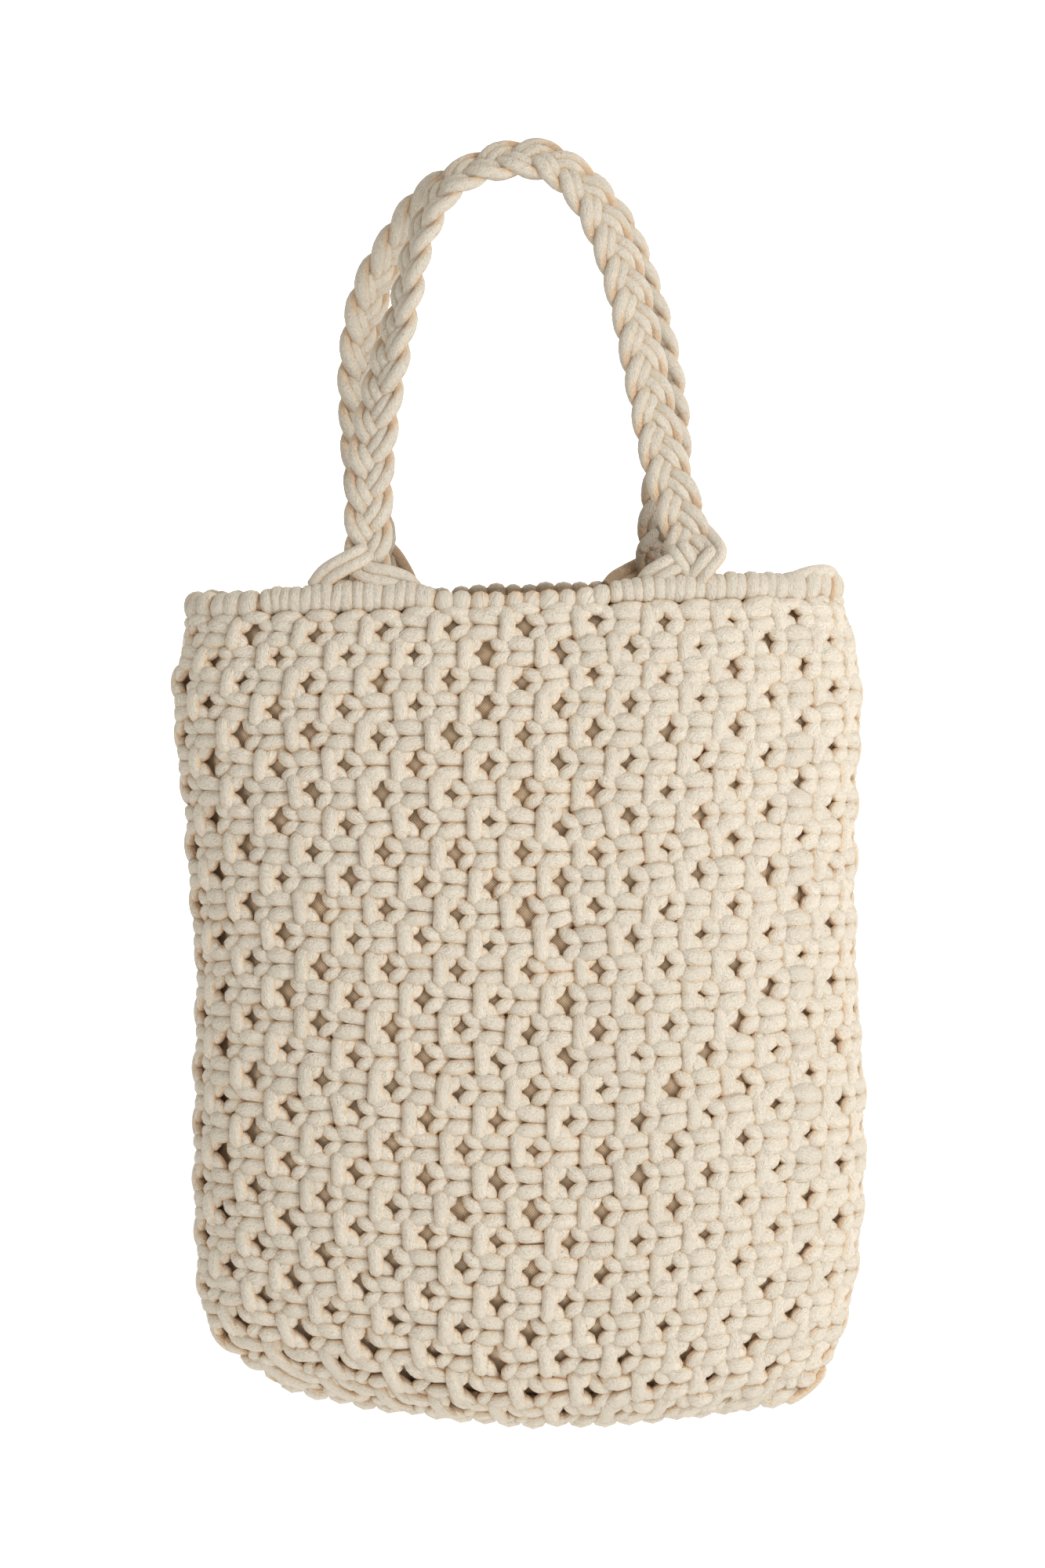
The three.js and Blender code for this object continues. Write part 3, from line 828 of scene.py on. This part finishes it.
# the handles: braids of three strands, each a pair of cords
braid = {
    "sway": 0.0054,
    "weave": -0.0018,
    "period": 0.0394,
    "pairGap": 0.0018,
    "radius": 0.0027,
    "press": 0.80,
    "plump": 0.03,
    "plumpPlaces": 40,
    "bulgeOver": 0.008,
    "proud": 0.0021,
    # each cord's tone, set darker than the net's as painted shade; pale weakens the painted crease shade
    "shade": (0.88, 0.02),
    "pale": 0.5,
    "step": 0.0018,
    "sides": 10,
    "frontStart": 0.4,
    "backStart": 2.1,
    # near its ends a braid narrows, and pairs of cords part from it
    "rootLength": 0.0150,
    "rootNarrow": 0.3,
    "rootRadius": 0.0024,
    "rootGap": 0.0020,
    "rootSteps": 20,
    "rootPlump": 0.04,
    "rootUp": 0.35,
    # the parted pairs' tone, darker than the net's as painted shade, and their weaker painted crease
    # shade
    "rootShade": (0.91, 0.02),
    "rootPale": 0.45,
    # the inner side of the back handle gets painted shade near the mouth
    "innerFrom": 0.4,
    "innerShade": 0.44,
    "innerReach": 0.05,
    "rootInnerShade": 0.4,
    # place across, place back, height, turn of the flat side in degrees
    "front": [
        (-57.9, -25.4, -155.6, 0),
        (-58.0, -24.6, -124.2, 0),
        (-56.4, -22.4, -100.2, -14),
        (-51.4, -19.4, -73.2, -40),
        (-44.4, -16.6, -46.2, -60),
        (-37.8, -13.8, -20.1, -64),
        (-27.0, -11.8, -1.2, -58),
        (-8.4, -11.0, 8.2, -46),
        (9.6, -11.0, 8.2, -36),
        (24.4, -11.6, -4.2, -30),
        (35.2, -13.2, -25.2, -26),
        (42.8, -16.2, -52.2, -24),
        (48.4, -19.8, -80.7, -20),
        (54.2, -23.4, -108.0, -10),
        (60.6, -25.0, -128.7, 0),
        (67.0, -25.4, -154.4, 0),
    ],
    "back": [
        (-57.0, 25.4, -155.6, 0),
        (-58.8, 24.6, -124.0, 0),
        (-61.4, 22.6, -97.0, 16),
        (-62.4, 19.4, -68.0, 28),
        (-58.4, 16.6, -40.2, 40),
        (-48.6, 14.2, -20.4, 54),
        (-35.7, 12.4, -3.0, 62),
        (-16.8, 11.2, 7.4, 66),
        (4.2, 11.0, 9.4, 70),
        (22.6, 11.2, 3.6, 70),
        (36.6, 12.0, -12.6, 64),
        (47.0, 14.6, -38.4, 56),
        (54.6, 18.0, -68.4, 50),
        (57.0, 22.2, -98.0, 28),
        (54.4, 25.0, -124.2, 0),
        (51.9, 25.4, -153.6, 0),
    ],
    # the pairs of cords that part at the roots and dive into the rim
    "frontRoots": [
        [
            (-57.0, -23.0, -140.0), (-61.2, -29.6, -143.2), (-68.0, -30.0, -146.6),
            (-74.0, -27.4, -150.4), (-77.6, -24.0, -155.0),
        ],
        [
            (-64.0, -25.0, -145.6), (-58.0, -28.6, -149.4), (-50.0, -29.0, -151.0),
            (-44.6, -27.4, -153.0), (-41.0, -24.4, -156.6),
        ],
        [
            (57.4, -22.0, -137.2), (60.0, -29.6, -141.4), (63.2, -28.8, -146.2),
            (66.6, -25.0, -152.6),
        ],
        [
            (66.0, -22.0, -131.8), (71.0, -26.4, -137.4), (73.2, -29.6, -141.8),
            (69.8, -30.8, -146.4), (64.8, -27.0, -152.4),
        ],
        [
            (63.6, -24.0, -141.6), (58.7, -28.4, -145.2), (53.3, -28.8, -148.0),
            (49.4, -27.0, -150.4), (46.6, -24.4, -154.0),
        ],
    ],
    "backRoots": [
        [
            (-56.0, 23.0, -140.2), (-60.2, 29.6, -143.4), (-67.0, 30.0, -146.8),
            (-73.0, 27.4, -150.6), (-76.6, 24.0, -155.2),
        ],
        [
            (-57.0, 24.0, -135.4), (-50.8, 26.8, -140.8), (-46.8, 27.4, -147.0),
            (-43.2, 24.4, -155.0),
        ],
        [
            (49.0, 22.0, -137.2), (50.0, 30.0, -141.4), (51.4, 31.0, -146.2),
            (52.4, 26.0, -152.6),
        ],
        [
            (56.6, 22.0, -131.6), (60.0, 26.6, -136.8), (61.6, 28.6, -142.2),
            (59.2, 29.0, -147.0), (56.6, 25.0, -152.6),
        ],
        [
            (52.0, 23.0, -141.6), (46.6, 28.4, -145.2), (41.2, 28.8, -148.0),
            (37.2, 27.0, -150.4), (34.2, 24.4, -154.0),
        ],
    ],
}


def innerSide(points, centres, radius):
    # where the painted shade goes: 1 on the side of the back handle's cords that faces the front
    spokes = points - np.array(centres)[:, :, None]
    return np.clip(braid["innerFrom"] - spokes[..., 1] / radius, 0, 1)


def handleBundle(route, start, side):
    route = np.array(route, float) * np.array([0.001, 0.001, 0.001, math.pi / 180])
    places = runAlong(route[:, :3])
    run = np.linspace(0, places[-1], int(places[-1] / braid["step"]))
    smooth = smoothThrough(run, places, route)
    middle, roll = smooth[:, :3], smooth[:, 3:]
    along = unit(np.gradient(middle, axis=0))
    toEnd = np.minimum(run, run[-1] - run)
    narrow = 1 - braid["rootNarrow"] * ease(1 - toEnd / braid["rootLength"])
    flat = unit(np.cross(np.array([0, 1, 0]), along))
    face = np.cross(along, flat)
    wide = flat * np.cos(roll) + face * np.sin(roll)
    thick = face * np.cos(roll) - flat * np.sin(roll)
    lumps = np.linspace(0, run[-1], braid["plumpPlaces"])
    centres, radii, outs, heights = [], [], [], []
    for strand in range(3):
        phase = 2 * math.pi * (run / braid["period"] + strand / 3) + start
        across = braid["sway"] * np.sin(phase)
        through = braid["weave"] * np.sin(2 * phase)
        lean = np.arctan2(np.gradient(across, run), 1.0)
        for pair in (-1, 1):
            sideways = ((across + pair * braid["pairGap"] * np.cos(lean)) * narrow)[:, None]
            forward = (-pair * braid["pairGap"] * np.sin(lean))[:, None]
            centres.append(middle + wide * sideways + thick * through[:, None] + along * forward)
            bulge = thick * (through / abs(braid["weave"]))[:, None]
            outs.append(unit(bulge + wide * (sideways / braid["bulgeOver"])))
            heights.append(np.full(len(run), braid["proud"]))
            plump = chance.normal(1, braid["plump"], len(lumps))
            radii.append(braid["radius"] * np.interp(run, lumps, plump))
    points, crown, fibre = tubes(centres, radii, outs, heights, braid["sides"], braid["press"])
    shade = chance.normal(*braid["shade"], (len(centres), 1, 1)) * np.ones(crown.shape)
    if side < 0:
        # painted shade near the back handle's ends, on the side that faces into the bag
        near = np.clip(1 - toEnd / braid["innerReach"], 0, 1)[None, :, None]
        shade = shade * (1 - braid["innerShade"] * innerSide(points, centres, braid["radius"]) * near)
    return points, braid["pale"] + (1 - braid["pale"]) * crown, fibre, shade


def rootBundle(routes, side):
    centres, outs = [], []
    for route in routes:
        route = np.array(route) * 0.001
        places = runAlong(route)
        middle = smoothThrough(np.linspace(0, places[-1], braid["rootSteps"]), places, route)
        along = unit(np.gradient(middle, axis=0))
        beside = unit(np.cross(along, np.array([0, 1, 0])))
        outward = unit(np.array([0, -side, braid["rootUp"]]))
        for pair in (-1, 1):
            centres.append(middle + pair * braid["rootGap"] * beside)
            outs.append(np.broadcast_to(outward, middle.shape))
    cords, steps = len(centres), braid["rootSteps"]
    radius = braid["rootRadius"] * chance.normal(1, braid["rootPlump"], (cords, 1))
    radius = np.repeat(radius, steps, axis=1)
    height = np.full(radius.shape, braid["proud"])
    points, crown, fibre = tubes(centres, radius, outs, height, braid["sides"])
    shade = chance.normal(*braid["rootShade"], (cords, 1, 1)) * np.ones(crown.shape)
    if side < 0:
        # painted shade on the side of the back roots that faces into the bag
        shade = shade * (1 - braid["rootInnerShade"] * innerSide(points, centres, braid["rootRadius"]))
    return points, braid["rootPale"] + (1 - braid["rootPale"]) * crown, fibre, shade


for name, side in (("front", 1), ("back", -1)):
    bundles = [
        handleBundle(braid[name], braid[f"{name}Start"], side),
        rootBundle(braid[f"{name}Roots"], side),
    ]
    handle = cordMesh(f"braid_{name}", bundles)
    takesPlace(handle, cord, "handle_cord", f"handle_{name}")
print("handles braided")

# the lining: one plain woven cloth inside the net
lining = {
    "behind": -0.0040,
    "bulge": 0.0040,
    "thickness": 0.0006,
    "around": 168,
    "down": 118,
    "top": -1.05,
    "short": 1.2,  # the rows that it ends above the base
    # the cloth's own measures: of a column, a row and a thread
    "columnPitch": 0.0137,
    "rowPitch": 0.0112,
    "thread": 0.00055,
    "flat": (0.56, 0.31),
    # where a thread goes under, at the sides, and over: darker and warmer where it goes under, as painted
    # shade in the weave's hollows
    "colours": [
        (0.0, (0.54, 0.35, 0.20)),
        (0.5, (0.90, 0.67, 0.44)),
        (1.0, (1.0, 0.88, 0.66)),
    ],
}


def liningMesh():
    column = np.linspace(-0.5, bag["columns"] - 0.5, lining["around"], endpoint=False)
    row = np.linspace(lining["top"], bag["rows"] - lining["short"], lining["down"])
    grid = np.zeros((len(row), len(column), 3))
    weave = np.zeros((len(row), len(column), 2))
    for k, r in enumerate(row):
        # the cloth swells into the gaps between the knots
        swell = np.maximum(np.cos(math.pi * r) * np.cos(math.pi * column), 0) ** 2
        grid[k], _ = onWall(column, r + 0 * column, lining["behind"] + lining["bulge"] * swell)
        weave[k, :, 0] = (column + 0.5) * lining["columnPitch"]
        weave[k, :, 1] = r * lining["rowPitch"]
    ids = np.arange(grid.shape[0] * grid.shape[1]).reshape(grid.shape[:2])
    beside = np.roll(ids, -1, axis=1)
    quads = np.stack([ids[:-1], ids[1:], beside[1:], beside[:-1]], axis=-1).reshape(-1, 4)
    mesh = bpy.data.meshes.new("lining_cloth")
    mesh.from_pydata(grid.reshape(-1, 3).tolist(), [], quads.tolist())
    mesh.polygons.foreach_set("use_smooth", np.ones(len(mesh.polygons), bool))
    uv = mesh.uv_layers.new(name="weave")
    ends = weave.reshape(-1, 2)[quads.ravel()].reshape(-1, 4, 2)
    # the faces that close the round go on past its end instead of back to its start
    full = bag["columns"] * lining["columnPitch"]
    ends[..., 0] += np.where(ends[..., 0] < ends[:, :1, 0] - full / 2, full, 0)
    uv.data.foreach_set("uv", ends.ravel().astype(np.float32))
    mesh.update()
    obj = bpy.data.objects.new("lining_cloth", mesh)
    bpy.context.collection.objects.link(obj)
    return obj


def clothMaterial():
    material, shader, make, link = newMaterial("lining cloth")
    weave = make("UVMap")
    weave.uv_map = "weave"
    split = make("SeparateXYZ")
    link(weave.outputs["UV"], split.inputs["Vector"])
    waves = []
    for axis in ("X", "Y"):
        turn = maths(make, link, "MULTIPLY", split.outputs[axis], math.pi / lining["thread"])
        waves.append(maths(make, link, "SINE", turn))
    span = make("MapRange", From_Min=-1.0, From_Max=1.0)
    link(maths(make, link, "MULTIPLY", *waves), span.inputs["Value"])
    colours = ramp(make, lining["colours"])
    link(span.outputs["Result"], colours.inputs["Fac"])
    link(colours.outputs["Color"], shader.inputs["Base Color"])
    socket(shader, Roughness=0.95)
    bump = make("Bump", Strength=0.4, Distance=0.0003)
    link(span.outputs["Result"], bump.inputs["Height"])
    link(bump.outputs["Normal"], shader.inputs["Normal"])
    return material


cloth = liningMesh()
bpy.context.view_layer.objects.active = cloth
cloth.select_set(True)
bpy.ops.object.modifier_add(type="SOLIDIFY")
cloth.modifiers[-1].thickness = lining["thickness"]
cloth.modifiers[-1].offset = -1
bpy.ops.object.modifier_apply(modifier=cloth.modifiers[-1].name)
cloth.select_set(False)
takesPlace(cloth, clothMaterial(), "lining_cloth", "lining")
print("lining hung")

# a white sweep behind and below, soft light from the upper right, and the camera in front
studio = {
    "floor": -0.62,
    "wide": 42,
    "backdropAway": 9.0,
    "floorGlow": 0.22,
    "backdropGlow": 1.05,
    "sky": (1, 0.97, 0.92, 1),
    "skyStrength": 0.43,
    "lightTarget": (0, 0, -0.3),
    "keyPlace": (1.35, -1.1, 0.55),
    "keySize": 0.7,
    "keyPower": 19.6,
    "fillPlace": (0.4, -2.0, 0.0),
    "fillSize": 1.2,
    "fillPower": 7.0,
    "cameraAway": 2.2,
    "cameraHeight": -0.2292,
    "cameraAcross": 0.0002,
    "viewHeight": 0.6,
    "sensor": 36,
}


def screen(name, place, rotation, material, glow, **values):
    bpy.ops.mesh.primitive_plane_add(size=studio["wide"], location=place, rotation=rotation)
    obj = bpy.context.object
    obj.name = name
    material, shader, _, _ = newMaterial(material)
    socket(shader, Emission_Color=(1, 1, 1, 1), Emission_Strength=glow, **values)
    obj.data.materials.append(material)
    return obj


upTurn = (math.radians(90), 0, 0)
away = studio["backdropAway"]
floor = screen(
    "studio_floor",
    (0, 0, studio["floor"]),
    (0, 0, 0),
    "studio white",
    studio["floorGlow"],
    Base_Color=(0.9, 0.9, 0.9, 1),
    Roughness=0.9,
)
backdrop = screen(
    "studio_backdrop",
    (0, away, away),
    upTurn,
    "studio glow",
    studio["backdropGlow"],
    Base_Color=(1, 1, 1, 1),
)

world = bpy.context.scene.world or bpy.data.worlds.new("studio")
bpy.context.scene.world = world
world.use_nodes = True
sky = world.node_tree.nodes["Background"]
socket(sky, Color=studio["sky"], Strength=studio["skyStrength"])

for key in ("key", "fill"):
    place = studio[f"{key}Place"]
    bpy.ops.object.light_add(type="AREA", location=place)
    lamp = bpy.context.object
    lamp.name = f"{key}_light"
    lamp.data.size = studio[f"{key}Size"]
    lamp.data.energy = studio[f"{key}Power"]
    aim = Vector(studio["lightTarget"]) - Vector(place)
    lamp.rotation_euler = aim.to_track_quat("-Z", "Y").to_euler()

bpy.ops.object.camera_add(
    location=(studio["cameraAcross"], -studio["cameraAway"], studio["cameraHeight"]),
    rotation=upTurn,
)
camera = bpy.context.object
camera.data.sensor_fit = "VERTICAL"
camera.data.sensor_height = studio["sensor"]
camera.data.lens = studio["sensor"] * studio["cameraAway"] / studio["viewHeight"]
bpy.context.scene.camera = camera
bpy.context.scene.view_settings.view_transform = "Standard"
print("studio set")
